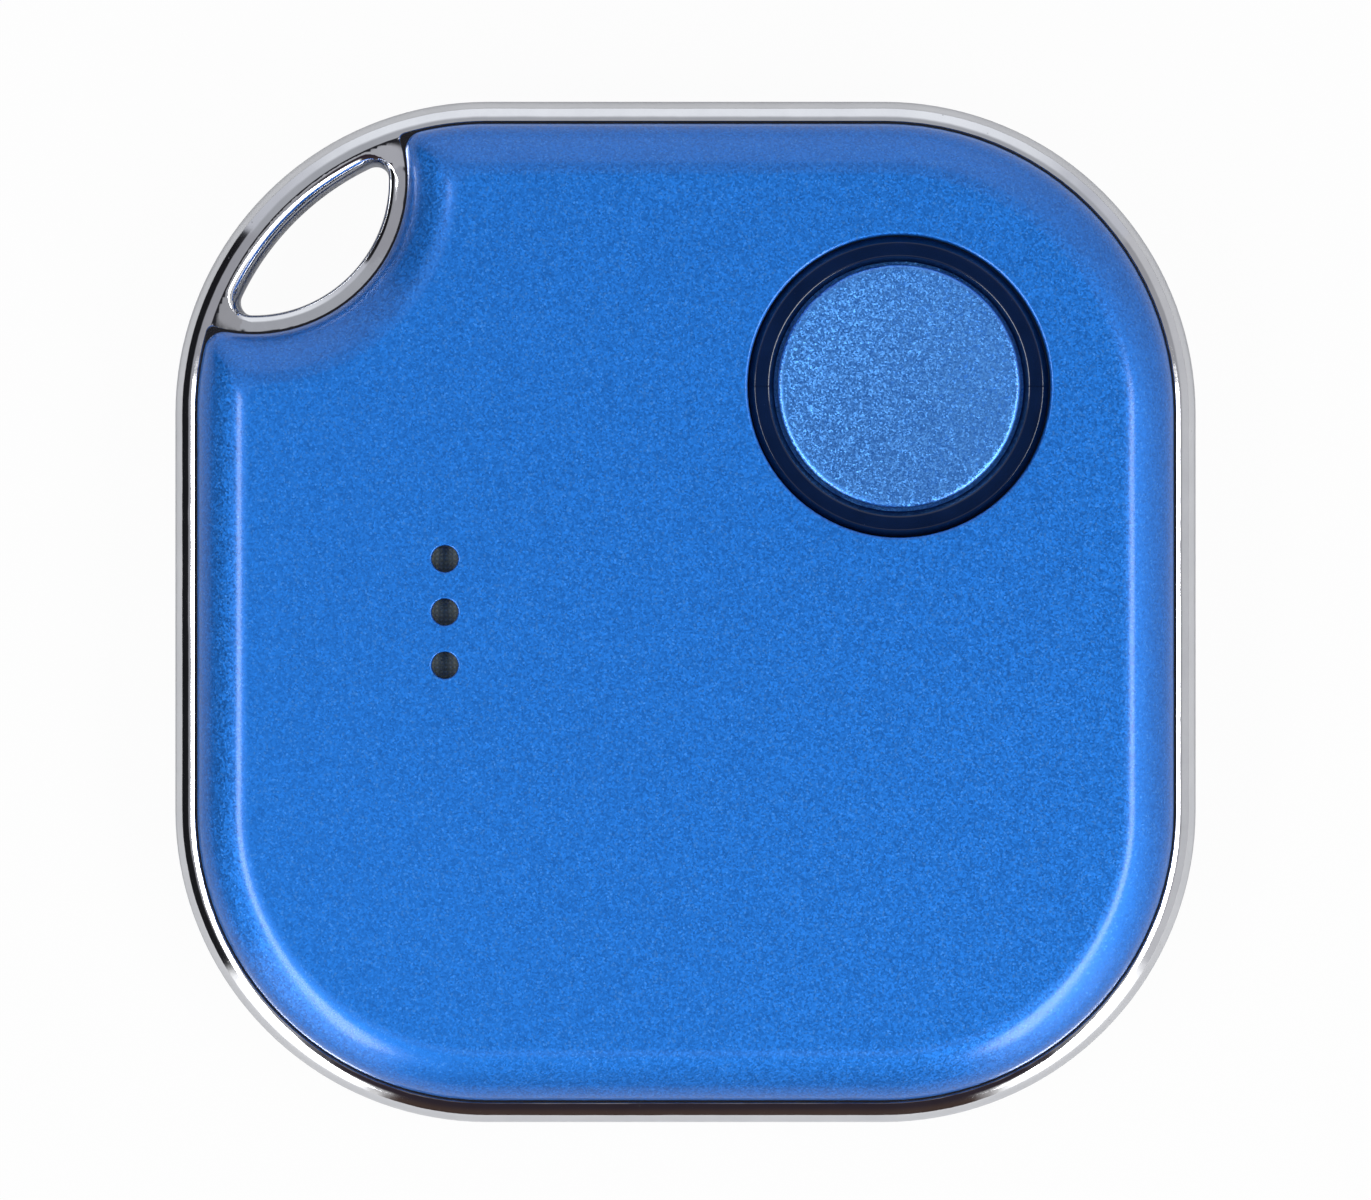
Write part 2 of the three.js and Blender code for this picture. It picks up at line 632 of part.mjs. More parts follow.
add("bluetooth_chip", onBoard([-5.4, 12.3], [4.0, 4.0, 0.85]), BLACK_PLASTIC);
add("chip_antenna", onBoard([1.4, 14.1], [5.0, 1.6, 0.9]), CERAMIC);
add("main_crystal", onBoard([-9.6, 8.2], [2.5, 2.0, 0.6]), STEEL);
add("clock_crystal", onBoard([-1.1, 11.7], [1.0, 2.0, 0.6]), STEEL);
add("buzzer_driver", onBoard([-12.6, 6.0], [2.0, 1.3, 0.7]), BLACK_PLASTIC);
add("power_inductor", onBoard([13.2, 1.2], [2.0, 2.0, 1.0]), CERAMIC);
add("bulk_capacitor", onBoard([12.9, -1.2], [3.2, 1.6, 1.6]), CAPACITOR);

const CAPACITORS = [[-2.2, 13.9], [1.4, 12.6], [-8.6, 10.4], [10.9, -6.7], [13.6, 4.3], [-13.9, -1.2]];
CAPACITORS.forEach((at, i) => add(`capacitor_${i + 1}`, onBoard(at, [1.0, 0.5, 0.5]), CAPACITOR));
const RESISTORS = [[-6.6, 8.3], [-13.9, -2.4], [-13.9, -3.6], [14.3, 6.0]];
RESISTORS.forEach((at, i) => add(`resistor_${i + 1}`, onBoard(at, [1.0, 0.5, 0.35]), BLACK_PLASTIC));

export default tag;
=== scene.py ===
# A square Bluetooth tracker tag: blue lacquered covers on a plated frame whose corner is the key loop,
# a push button in a smoked light ring, three sound holes, and a battery door that slides out of the back.
import json
import math

import bmesh
import bpy
from mathutils import Matrix, Vector


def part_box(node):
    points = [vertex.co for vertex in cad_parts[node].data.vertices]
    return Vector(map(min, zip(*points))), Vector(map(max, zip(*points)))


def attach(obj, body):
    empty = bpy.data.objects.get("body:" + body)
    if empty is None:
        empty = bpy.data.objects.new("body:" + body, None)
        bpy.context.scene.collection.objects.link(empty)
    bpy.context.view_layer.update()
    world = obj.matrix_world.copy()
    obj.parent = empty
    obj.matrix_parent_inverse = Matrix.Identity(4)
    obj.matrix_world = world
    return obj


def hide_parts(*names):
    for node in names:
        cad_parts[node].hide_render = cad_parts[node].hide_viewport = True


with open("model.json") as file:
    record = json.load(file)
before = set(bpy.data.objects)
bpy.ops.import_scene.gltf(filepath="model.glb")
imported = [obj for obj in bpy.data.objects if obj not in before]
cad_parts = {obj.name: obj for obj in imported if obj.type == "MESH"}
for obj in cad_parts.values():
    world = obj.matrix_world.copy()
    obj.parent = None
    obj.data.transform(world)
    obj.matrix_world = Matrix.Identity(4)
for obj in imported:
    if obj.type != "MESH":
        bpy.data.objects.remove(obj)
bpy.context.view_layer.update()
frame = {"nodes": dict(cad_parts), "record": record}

RECORD = frame["record"]
SLOT = {part["node"]: part["material_slot"] for part in RECORD["subparts"]}
BODY = {node: body for body, nodes in RECORD["behaviour"]["bodies"].items() for node in nodes}
MM = 0.001

# Shapes are drawn in millimetres and shrunk to metres when they are done.
THICKNESS = 6.0
MID_Z = THICKNESS / 2
FAR = 40.0            # past the tag's side, for a cutter that has to go all the way
CORNER = 7.0          # the corner arcs of every outline are struck from (+-7, +-7)

COVER_R = 10.16
COVER_SKIN = 0.8
COVER_RIM_Z = 3.9
CEILING = THICKNESS - COVER_SKIN
EDGE_SLOPES = ((0.0, 80), (0.45, 45), (1.38, 24), (1.93, 0))  # (inset, degrees) down a cover's rounded edge
SKIRT_OUT, SKIRT_IN, SKIRT_DEPTH = 0.95, 1.6, 0.6
NOTCH = (-15.2, 15.2)
NOTCH_R = 5.44
TIP_R = 0.7
FRONT_POSTS = ((14.2, -6), (-13.9, -5.9), (0.4, 10.6), (-11.6, 7.6))
REAR_POSTS = ((14.2, 3), (-14.2, 3), (14.2, -6), (-14.2, -6), (-4, 13), (4, 13))
POST_R, FRONT_POST_FOOT, TRAY_BOTTOM = 0.6, 2.85, 1.4

BAND_R, BAND_HALF_H, BAND_ROUND_R = 11.0, 1.25, 0.90
BAND_GAP = 0.1
BAND_WALL = 0.85
BAND_TOP = MID_Z + BAND_HALF_H
LEDGE_HALF_H = 0.85
SEAT_LIP, SEAT_TIP_R = 0.07, 0.25
POCKET_R, POCKET_INSET = 0.24, 0.25        # the small pockets at the tips of the cover's seat

LOOP_OUTER_R, LOOP_INNER_R, LOOP_TIP_R = 9.645, 4.75, 0.5
STRUT_ROUND, RIM_ROUND = 0.55, 0.58        # how far the key loop's opening rounds off on its two sides
STRUT_ROUND_H, RIM_ROUND_H = 0.70, 0.32    # and how deep
CREST_R = 10.25
WEB_SLOPE, RIM_SLOPE, SADDLE_SPAN = 0.14, 0.14, 9.0
SADDLE_CORNER, SADDLE_SIDE, SADDLE_CELLS = (-18.5, 8.5), 10.0, 90

BUTTON = (7.47, 7.9)
BUTTON_HOLE_R = 5.3
RING_TOP = 5.6
FEET_CIRCLE_R, FOOT_R, FOOT_Z = 5.15, 0.32, (3.55, 4.6)    # the light ring's feet, over the LEDs
FEET_TURNS = (0, 60, 120, 180, 300)
SOUND_X, SOUND_PITCH, SOUND_R = -8.41, 1.86, 0.47

CELL = (-1.0, -4.0)
CELL_R, CELL_BOTTOM, CELL_TOP = 10.0, 1.2, 4.4
CURL_R = 0.35

DOOR_HALF_W, DOOR_END_Y, DOOR_CORNER_R, DOOR_WALL_TOP = 12.0, 9.1, 2.0, 1.68
SEAM = 0.1
RAIL_W, RAIL_Z = 0.8, (0.85, 1.3)
SCREW = (0.0, 7.4)
SCREW_SEAT_R, SCREW_SEAT_TOP, SCREW_HOLE_R = 1.45, 0.6, 0.75
GRIP_COUNT, GRIP_Y, GRIP_PITCH, GRIP_HALF_W, GRIP_R, GRIP_DEPTH = 5, -9.25, 1.1, 3.75, 0.25, 0.25

CAMERA_DISTANCE, CAMERA_Y, VIEW_WIDTH, SENSOR = 260.0, 0.42, 48.45, 36.0
SHARP_EDGE, BEVEL_EDGE = math.radians(34), math.radians(40)


# ---------------------------------------------------------------- shader maths

class Value:
    """A node's output that maths can be written with."""

    def __init__(self, finish, socket):
        self.finish = finish
        self.socket = socket

    def __add__(self, other):
        return self.finish.maths("ADD", self, other)

    def __mul__(self, other):
        return self.finish.maths("MULTIPLY", self, other)

    def __sub__(self, other):
        return self.finish.maths("SUBTRACT", self, other)

    def __rsub__(self, other):
        return self.finish.maths("SUBTRACT", other, self)

    def __truediv__(self, other):
        return self.finish.maths("DIVIDE", self, other)

    def __rtruediv__(self, other):
        return self.finish.maths("DIVIDE", other, self)

    def __pow__(self, other):
        return self.finish.maths("POWER", self, other)

    def __rpow__(self, other):
        return self.finish.maths("POWER", other, self)

    def __gt__(self, other):
        return self.finish.maths("GREATER_THAN", self, other)

    def __lt__(self, other):
        return self.finish.maths("LESS_THAN", self, other)

    __radd__ = __add__
    __rmul__ = __mul__


class Finish:
    """A node tree that a finish is written in."""

    def __init__(self, tree):
        self.tree = tree
        tree.nodes.clear()

    def node(self, kind, settings=None, values=None, output=0):
        made = self.tree.nodes.new(kind)
        for key, setting in (settings or {}).items():
            setattr(made, key, setting)
        for key, value in (values or {}).items():
            if isinstance(value, Value):
                self.tree.links.new(value.socket, made.inputs[key])
            else:
                made.inputs[key].default_value = value
        return Value(self, made.outputs[output]) if made.outputs else made

    def maths(self, operation, *values):
        return self.node("ShaderNodeMath", {"operation": operation}, dict(enumerate(values)))

    def vector(self, operation, *vectors, **values):
        inputs = {**dict(enumerate(vectors)), **values}
        return self.node("ShaderNodeVectorMath", {"operation": operation}, inputs)

    def place(self):
        """Where a point is on the tag, in millimetres."""
        metres = self.node("ShaderNodeTexCoord", output="Object")
        return self.vector("SCALE", metres, Scale=1 / MM)

    def axes(self, vector):
        return [self.node("ShaderNodeSeparateXYZ", None, {0: vector}, i) for i in range(3)]

    def noise(self, where, scale, detail=2.0, rough=0.5):
        values = {"Vector": where, "Scale": scale, "Detail": detail, "Roughness": rough}
        return self.node("ShaderNodeTexNoise", None, values, "Fac")

    def cells(self, where, scale, output="Color", **settings):
        return self.node("ShaderNodeTexVoronoi", settings, {"Vector": where, "Scale": scale}, output)

    def mix(self, amount, first, second):
        """The colour that is this amount of the way from the first to the second."""
        values = {0: amount, 6: colour(first), 7: colour(second)}
        return self.node("ShaderNodeMix", {"data_type": "RGBA"}, values, 2)

    def fade(self, value, start, end):
        """0 before start and 1 after end, with a soft step between."""
        values = {"Value": value, "From Min": start, "From Max": end}
        return self.node("ShaderNodeMapRange", {"interpolation_type": "SMOOTHSTEP"}, values)

    def bump(self, height, depth_mm):
        return self.node("ShaderNodeBump", None, {"Height": height, "Distance": depth_mm * MM})

    def shader(self, **values):
        """The principled shader, with its sockets named in lower case words."""
        sockets = {key.replace("_", " ").title().replace("Ior", "IOR"): v for key, v in values.items()}
        return self.node("ShaderNodeBsdfPrincipled", None, {k: colour(v) for k, v in sockets.items()})

    def shine(self, **values):
        self.node("ShaderNodeOutputMaterial", None, {"Surface": self.shader(**values)})


def colour(value):
    """A colour of three numbers gets its fourth, and anything else stays as it is."""
    return (*value, 1.0) if isinstance(value, tuple) and len(value) == 3 else value


def new_finish(name):
    material = bpy.data.materials.new(name)
    material.use_nodes = True
    return material, Finish(material.node_tree)


# ---------------------------------------------------------------- finishes

def flake_lacquer(name, deep, bright, flake_mm, contrast, tilt, roughness):
    """Metallic lacquer: each flake has its own tone and leans its own way, and the brightest flakes carry
    painted glints.
    """
    material, f = new_finish(name)
    place = f.place()
    flakes = f.cells(place, 1 / flake_mm)
    coarse = f.cells(place, 0.42 / flake_mm)
    tone, _, glint = f.axes(flakes)
    drift = f.noise(place, 0.09, 3.0)
    cloud = f.noise(place, 1.6, 4.0, 0.6)
    amount = 0.5 + (tone - 0.5) * contrast + (cloud - 0.5) * 0.2 + (drift - 0.5) * 0.15
    base = f.mix(amount, deep, bright)
    # painted glints: the brightest flakes are mixed towards pale blue in the colour itself
    painted_sparkle = f.fade(glint, 0.86, 1.0) * contrast * 0.16
    base = f.mix(painted_sparkle, base, (0.2, 0.55, 1.0))
    lean = f.vector("SUBTRACT", f.mix(0.2, flakes, coarse), (0.5, 0.5, 0.5))
    lean = f.vector("SCALE", lean, Scale=tilt)
    orange_peel = f.bump(f.noise(place, 2.2, 2.0), 0.004)
    normal = f.vector("NORMALIZE", f.vector("ADD", orange_peel, lean))
    f.shine(base_color=base, metallic=1.0, roughness=roughness + (tone - 0.5) * 0.12,
            normal=normal, coat_weight=0.8, coat_roughness=0.2)
    return material


def bright_plating():
    """Polished plating with a faint haze, slow ripples and a few pits."""
    material, f = new_finish("bright_plating")
    place = f.place()
    haze = f.noise(place, 0.7, 4.0, 0.6)
    pits = f.cells(place, 1.1, "Distance")
    pit = f.fade(pits, 0.06, 0.0)
    ripple = f.bump(f.noise(place, 0.45, 2.0) + f.noise(place, 3.0, 3.0) * 0.04 - pit * 0.03, 0.03)
    base = f.mix(haze, (0.70, 0.71, 0.74), (0.86, 0.87, 0.89))
    base = f.mix(pit * 0.5, base, (0.25, 0.25, 0.27))
    f.shine(base_color=base, metallic=1.0, roughness=0.045 + haze * 0.05 + pit * 0.2, normal=ripple)
    return material


def smoked_plastic():
    """Dark blue see-through plastic, polished, with specks of dust."""
    material, f = new_finish("smoked_plastic")
    place = f.place()
    swirl = f.noise(place, 0.8, 3.0)
    specks = f.fade(f.cells(place, 3.0, "Distance"), 0.05, 0.02)
    base = f.mix(swirl, (0.001, 0.0055, 0.024), (0.003, 0.013, 0.053))
    base = f.mix(specks * 0.3, base, (0.10, 0.12, 0.17))
    f.shine(base_color=base, roughness=0.1 + swirl * 0.05, ior=1.5,
            normal=f.bump(f.noise(place, 1.2, 2.0), 0.004), coat_weight=0.5, coat_roughness=0.05)
    return material


def moulded(name, dark, light, grain_mm=0.25, depth_mm=0.012, roughness=0.5):
    """Plastic, rubber or foam with the fine grain of its mould."""
    material, f = new_finish(name)
    place = f.place()
    grain = f.noise(place, 1 / grain_mm, 4.0, 0.6)
    wear = f.noise(place, 0.25, 3.0)
    f.shine(base_color=f.mix(wear * 0.6 + grain * 0.4, dark, light),
            roughness=roughness - 0.08 + wear * 0.16, normal=f.bump(grain, depth_mm))
    return material


def metal(name, dark, light, roughness=0.25):
    """Rolled or drawn metal, with its grain stretched one way."""
    material, f = new_finish(name)
    place = f.place()
    drawn = f.noise(f.vector("DIVIDE", place, (1.0, 12.0, 1.0)), 20.0, 3.0)
    stain = f.noise(place, 0.5, 4.0, 0.6)
    f.shine(base_color=f.mix(drawn * 0.5 + stain * 0.5, dark, light), metallic=1.0,
            roughness=roughness - 0.08 + stain * 0.16, normal=f.bump(drawn, 0.003))
    return material


def cell_steel():
    """Nickel plated steel, polished in rings about the middle of the cell, with handling marks."""
    material, f = new_finish("cell_steel")
    place = f.place()
    x, y, z = f.axes(place)
    radius = ((x - CELL[0]) ** 2.0 + (y - CELL[1]) ** 2.0) ** 0.5
    rings = f.noise(f.node("ShaderNodeCombineXYZ", None, {0: radius, 1: z, 2: 0.0}), 14.0, 3.0)
    smudge = f.noise(place, 0.35, 5.0, 0.65)
    nicks = f.fade(f.cells(f.vector("MULTIPLY", place, (1.0, 0.12, 1.0)), 1.4, "Distance"), 0.05, 0.0)
    f.shine(base_color=f.mix(smudge, (0.50, 0.49, 0.46), (0.74, 0.73, 0.70)), metallic=1.0,
            roughness=0.16 + smudge * 0.2 + rings * 0.06, normal=f.bump(rings - nicks * 0.4, 0.006))
    return material


def sound_cloth():
    """Woven cloth: threads that cross each other about six to the millimetre."""
    material, f = new_finish("sound_cloth")
    x, y, _ = f.axes(f.place())
    over, under = (f.maths("SINE", along * 38.0) * 0.5 + 0.5 for along in (x, y))
    weave = over * under
    f.shine(base_color=f.mix(weave, (0.13, 0.135, 0.09), (0.22, 0.23, 0.16)), roughness=0.75,
            normal=f.bump(weave, 0.03))
    return material


def board_laminate():
    """Green solder resist over copper tracks, with the glass cloth showing faintly."""
    material, f = new_finish("board_laminate")
    place = f.place()
    tracks = f.cells(place, 0.55, "Distance", feature="DISTANCE_TO_EDGE")
    track = f.fade(tracks, 0.09, 0.06)
    pads = f.fade(f.cells(place, 0.8, "Distance"), 0.14, 0.12)
    cloth = f.noise(f.vector("MULTIPLY", place, (1.0, 6.0, 1.0)), 2.0, 2.0)
    base = f.mix(cloth, (0.004, 0.05, 0.022), (0.008, 0.085, 0.035))
    base = f.mix(track * 0.6, base, (0.03, 0.2, 0.08))
    base = f.mix(pads, base, (0.75, 0.72, 0.6))
    f.shine(base_color=base, roughness=0.32 + cloth * 0.12, metallic=pads * 0.9, normal=f.bump(track, 0.02))
    return material


def tinned_ends(name, dark, light, reach=0.2):
    """A chip part: a fired body with a tinned cap at each end of its length."""
    material, f = new_finish(name)
    along, _, _ = f.axes(f.node("ShaderNodeTexCoord", output="Generated"))
    end = f.maths("ABSOLUTE", along - 0.5) > 0.5 - reach
    place = f.place()
    grain = f.noise(place, 9.0, 4.0)
    base = f.mix(end, f.mix(grain, dark, light), f.mix(grain, (0.5, 0.5, 0.5), (0.75, 0.75, 0.74)))
    f.shine(base_color=base, metallic=end, roughness=0.35 + grain * 0.2, normal=f.bump(grain, 0.01))
    return material


def all_finishes():
    return {
        "cover_paint": flake_lacquer("cover_paint", (0.013, 0.140, 0.52), (0.025, 0.235, 0.77),
                                     0.06, 0.95, 0.22, 0.55),
        "button_paint": flake_lacquer("button_paint", (0.034, 0.19, 0.68), (0.125, 0.42, 1.0),
                                      0.05, 0.85, 0.38, 0.40),
        "frame_chrome": bright_plating(),
        "smoked_plastic": smoked_plastic(),
        "screw_steel": metal("screw_steel", (0.38, 0.38, 0.39), (0.62, 0.62, 0.63), 0.28),
        "black_plastic": moulded("black_plastic", (0.010, 0.010, 0.011), (0.024, 0.024, 0.027)),
        "cell_steel": cell_steel(),
        "seal_rubber": moulded("seal_rubber", (0.008, 0.008, 0.008), (0.02, 0.02, 0.02), roughness=0.7),
        "foam": moulded("foam", (0.012, 0.012, 0.013), (0.04, 0.04, 0.043), 0.12, 0.08, 0.9),
        "contact_metal": metal("contact_metal", (0.48, 0.45, 0.38), (0.72, 0.69, 0.6)),
        "mesh_cloth": sound_cloth(),
        "buzzer_brass": metal("buzzer_brass", (0.5, 0.34, 0.12), (0.78, 0.58, 0.26)),
        "ceramic": moulded("ceramic", (0.62, 0.6, 0.54), (0.8, 0.78, 0.72), 0.15, 0.01, 0.55),
        "board_laminate": board_laminate(),
        "led_resin": tinned_ends("led_resin", (0.72, 0.7, 0.55), (0.85, 0.84, 0.74), 0.16),
        "chip_epoxy": moulded("chip_epoxy", (0.012, 0.012, 0.012), (0.03, 0.03, 0.03), 0.1, 0.01, 0.55),
        "crystal_can": metal("crystal_can", (0.55, 0.55, 0.54), (0.76, 0.76, 0.75), 0.22),
        "inductor_ferrite": moulded("inductor_ferrite", (0.02, 0.02, 0.022), (0.05, 0.05, 0.055),
                                    0.1, 0.02, 0.7),
        "capacitor_ceramic": tinned_ends("capacitor_ceramic", (0.20, 0.13, 0.07), (0.32, 0.22, 0.13)),
        "resistor_film": tinned_ends("resistor_film", (0.01, 0.01, 0.012), (0.03, 0.03, 0.035)),
    }


# ---------------------------------------------------------------- mesh code

def new_piece(name, tool):
    mesh = bpy.data.meshes.new(name)
    bmesh.ops.recalc_face_normals(tool, faces=tool.faces)
    tool.to_mesh(mesh)
    tool.free()
    piece = bpy.data.objects.new(name, mesh)
    bpy.context.scene.collection.objects.link(piece)
    return piece


def skin(rings):
    """A skin over rings of (outline, height), closed by a flat end at the first and the last."""
    tool = bmesh.new()
    made = [[tool.verts.new((x, y, z)) for x, y in outline] for outline, z in rings]
    count = len(made[0])
    for low, high in zip(made, made[1:]):
        for i in range(count):
            j = (i + 1) % count
            tool.faces.new((low[i], low[j], high[j], high[i]))
    tool.faces.new(made[0][::-1])
    tool.faces.new(made[-1])
    return new_piece("skin", tool)


def turned(centre, section, steps=96):
    """A solid turned about an upright axis from its half section of (radius, height) points."""
    tool = bmesh.new()
    rows = []
    for radius, z in section:
        circle = arc(centre, radius, 0, 2 * math.pi, steps)[:-1] if radius else [centre]
        rows.append([tool.verts.new((x, y, z)) for x, y in circle])
    on_axis = len(rows[0]) == 1
    for low, high in zip(rows, rows[1:] if on_axis else rows[1:] + rows[:1]):
        for i in range(steps):
            j = (i + 1) % steps
            corners = [low[i % len(low)], low[j % len(low)], high[j % len(high)], high[i % len(high)]]
            tool.faces.new(list(dict.fromkeys(corners)))
    return new_piece("turned", tool)


def slab(outline, low, high):
    return skin([(outline, low), (outline, high)])


def rectangle(x0, x1, y0, y1):
    return [(x0, y0), (x1, y0), (x1, y1), (x0, y1)]


def round_bar(centre, radius, low, high, steps=48):
    return slab(arc(centre, radius, 0, 2 * math.pi, steps)[:-1], low, high)


def bake(piece):
    """Makes a piece's modifiers part of its mesh."""
    shaped = piece.evaluated_get(bpy.context.evaluated_depsgraph_get())
    mesh = bpy.data.meshes.new_from_object(shaped)
    piece.modifiers.clear()
    piece.data = mesh


def combine(piece, how, *tools):
    for tool in tools:
        change = piece.modifiers.new(how, "BOOLEAN")
        change.operation = how
        change.solver = "EXACT"
        change.object = tool
        bake(piece)
        bpy.data.objects.remove(tool)
    return piece


def cut(piece, *tools):
    return combine(piece, "DIFFERENCE", *tools)


def join(piece, *tools):
    return combine(piece, "UNION", *tools)


def keep_inside(piece, *tools):
    return combine(piece, "INTERSECT", *tools)


def soften(piece, width):
    """Rounds off a piece's edges."""
    edges = piece.modifiers.new("soften", "BEVEL")
    edges.width = width
    edges.segments = 2
    edges.limit_method = "ANGLE"
    edges.angle_limit = BEVEL_EDGE
    bake(piece)
    return piece


def stand_for(piece, node, finish):
    """Shrinks a finished piece to metres, smooths it, and puts it in its CAD node's place."""
    piece.name = node + "_looks"
    piece.data.transform(Matrix.Scale(MM, 4))
    piece.data.polygons.foreach_set("use_smooth", [True] * len(piece.data.polygons))
    piece.data.set_sharp_from_angle(angle=SHARP_EDGE)
    weigh = piece.modifiers.new("even_shading", "WEIGHTED_NORMAL")
    weigh.keep_sharp = True
    bake(piece)
    piece.data.materials.clear()
    piece.data.materials.append(finish)
    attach(piece, BODY[node])
    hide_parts(node)
    return piece


# ---------------------------------------------------------------- outlines

def sweep(start, end, steps):
    """Angles from the start to the end, both counted in."""
    return [start + (end - start) * i / steps for i in range(steps + 1)]


def arc(centre, radius, start, end, steps):
    turns = sweep(start, end, steps)
    return [(centre[0] + radius * math.cos(a), centre[1] + radius * math.sin(a)) for a in turns]


def angle_to(start, end):
    return math.atan2(end[1] - start[1], end[0] - start[0])


def across_diagonal(point):
    return (-point[1], -point[0])


def circles_meet(a, ra, b, rb):
    """Where circles about a and b meet, on the +Y side of the loop's diagonal."""
    step = Vector(b) - Vector(a)
    along = (ra * ra - rb * rb + step.length_squared) / (2 * step.length)
    across = math.sqrt(ra * ra - along * along)
    way = step.normalized()
    meet = Vector(a) + way * along + Vector((way.y, -way.x)) * across
    return (meet.x, meet.y)


def three_corners(radius, steps=24):
    half = math.pi / 2
    return (arc((-CORNER, -CORNER), radius, 2 * half, 3 * half, steps)
            + arc((CORNER, -CORNER), radius, 3 * half, 4 * half, steps)
            + arc((CORNER, CORNER), radius, 0, half, steps))


def square_outline(radius):
    return three_corners(radius, 36) + arc((-CORNER, CORNER), radius, math.pi / 2, math.pi, 36)


def cover_outline(inset, tip=TIP_R):
    """A cover's outline moved in by an inset: a rounded square with the loop's notch cut from a corner."""
    centre = (-CORNER, CORNER)
    radius, notch_r = COVER_R - inset, NOTCH_R + inset
    upper = circles_meet(centre, radius - tip, NOTCH, notch_r + tip)
    lower = across_diagonal(upper)
    corner_angle = angle_to(centre, upper)
    notch_angle, notch_end = angle_to(NOTCH, upper), angle_to(NOTCH, lower)
    return (three_corners(radius)
            + arc(centre, radius, math.pi / 2, corner_angle, 8)
            + arc(upper, tip, corner_angle, notch_angle + math.pi, 10)[1:]
            + arc(NOTCH, notch_r, notch_angle, notch_end, 28)[1:]
            + arc(lower, tip, notch_end + math.pi, 1.5 * math.pi - corner_angle, 10)[1:]
            + arc(centre, radius, 1.5 * math.pi - corner_angle, math.pi, 8)[1:])


def loop_outline(strut, rim):
    """The key loop's opening, moved out by one amount on its strut side and another on its rim side."""
    centre = (-CORNER, CORNER)
    outer_r, inner_r, tip = LOOP_OUTER_R + strut, LOOP_INNER_R + rim, LOOP_TIP_R + rim
    upper = circles_meet(centre, outer_r - tip, NOTCH, inner_r - tip)
    lower = across_diagonal(upper)
    outer_angle = angle_to(centre, upper)
    inner_angle, inner_end = angle_to(NOTCH, upper), angle_to(NOTCH, lower)
    return (arc(centre, outer_r, outer_angle, 1.5 * math.pi - outer_angle, 40)
            + arc(lower, tip, 1.5 * math.pi - outer_angle, inner_end + 2 * math.pi, 12)[1:]
            + arc(NOTCH, inner_r, inner_end, inner_angle, 40)[1:]
            + arc(upper, tip, inner_angle, outer_angle, 12)[1:-1])


def turned_over(rings):
    return [(outline, THICKNESS - z) for outline, z in reversed(rings)]


# ---------------------------------------------------------------- covers and frame

def cover_rings():
    """The outside of a cover, from the skirt that plugs into the frame up to its flat face."""
    rim = COVER_RIM_Z
    rings = [(cover_outline(SKIRT_OUT), rim - SKIRT_DEPTH), (cover_outline(SKIRT_OUT), rim),
             (cover_outline(0.04), rim), (cover_outline(0.0), rim + 0.04)]
    edge = [(cover_outline(inset), z) for inset, z in edge_profile()]
    return rings + edge + [(cover_outline(EDGE_SLOPES[-1][0] + 0.2), THICKNESS)]


def edge_profile():
    """Arcs that run into each other, from the foot of a cover's edge to its flat face, as (inset, z)."""
    z, profile = THICKNESS, [(EDGE_SLOPES[-1][0], THICKNESS)]
    for (low_inset, low), (high_inset, high) in reversed(list(zip(EDGE_SLOPES, EDGE_SLOPES[1:]))):
        low, high = math.radians(low), math.radians(high)
        radius = (high_inset - low_inset) / (math.sin(low) - math.sin(high))
        for tilt in sweep(high, low, 8)[1:]:
            profile.append((high_inset - radius * (math.sin(tilt) - math.sin(high)),
                            z - radius * (math.cos(high) - math.cos(tilt))))
        z = profile[-1][1]
    return profile[::-1]


def flared_hole(centre, radius, low, top, flare):
    """A cutter for a hole whose mouth is rounded."""
    mouth = [(radius + flare * (1 - math.cos(a)), top - flare * (1 - math.sin(a)))
             for a in sweep(0, math.pi / 2, 5)]
    return turned(centre, [(0, low), (radius, low), *mouth, (radius + flare, top + 1), (0, top + 1)])


def front_cover():
    cover = skin(cover_rings())
    cut(cover, slab(cover_outline(SKIRT_IN), 0, CEILING))
    cut(cover, flared_hole(BUTTON, BUTTON_HOLE_R, CEILING - 1, THICKNESS, 0.1))
    for step in (-1, 0, 1):
        cut(cover, flared_hole((SOUND_X, step * SOUND_PITCH), SOUND_R, CEILING - 1, THICKNESS, 0.06))
    for at in FRONT_POSTS:
        join(cover, round_bar(at, POST_R, FRONT_POST_FOOT, CEILING + 0.2, 24))
    return cover


def door_outline(gap):
    """The door's outline with a gap all round: square at the tag's side, with two round corners inside."""
    width, end, radius = DOOR_HALF_W + gap, DOOR_END_Y + gap, DOOR_CORNER_R + gap
    return ([(-width, -FAR), (width, -FAR)]
            + arc((width - radius, end - radius), radius, 0, math.pi / 2, 12)
            + arc((radius - width, end - radius), radius, math.pi / 2, math.pi, 12))


def rear_cover():
    cover = skin(turned_over(cover_rings()))
    cut(cover, slab(cover_outline(SKIRT_IN), COVER_SKIN, FAR))
    cut(cover, slab(door_outline(SEAM), -FAR, DOOR_WALL_TOP + 0.05))
    edge, end = DOOR_HALF_W + RAIL_W + SEAM, DOOR_END_Y - DOOR_CORNER_R + SEAM
    cut(cover, slab(rectangle(-edge, edge, -FAR, end), COVER_SKIN, RAIL_Z[1] + 0.05))
    for at in REAR_POSTS:
        join(cover, round_bar(at, POST_R, COVER_SKIN - 0.2, TRAY_BOTTOM - 0.05, 24))
    return cover


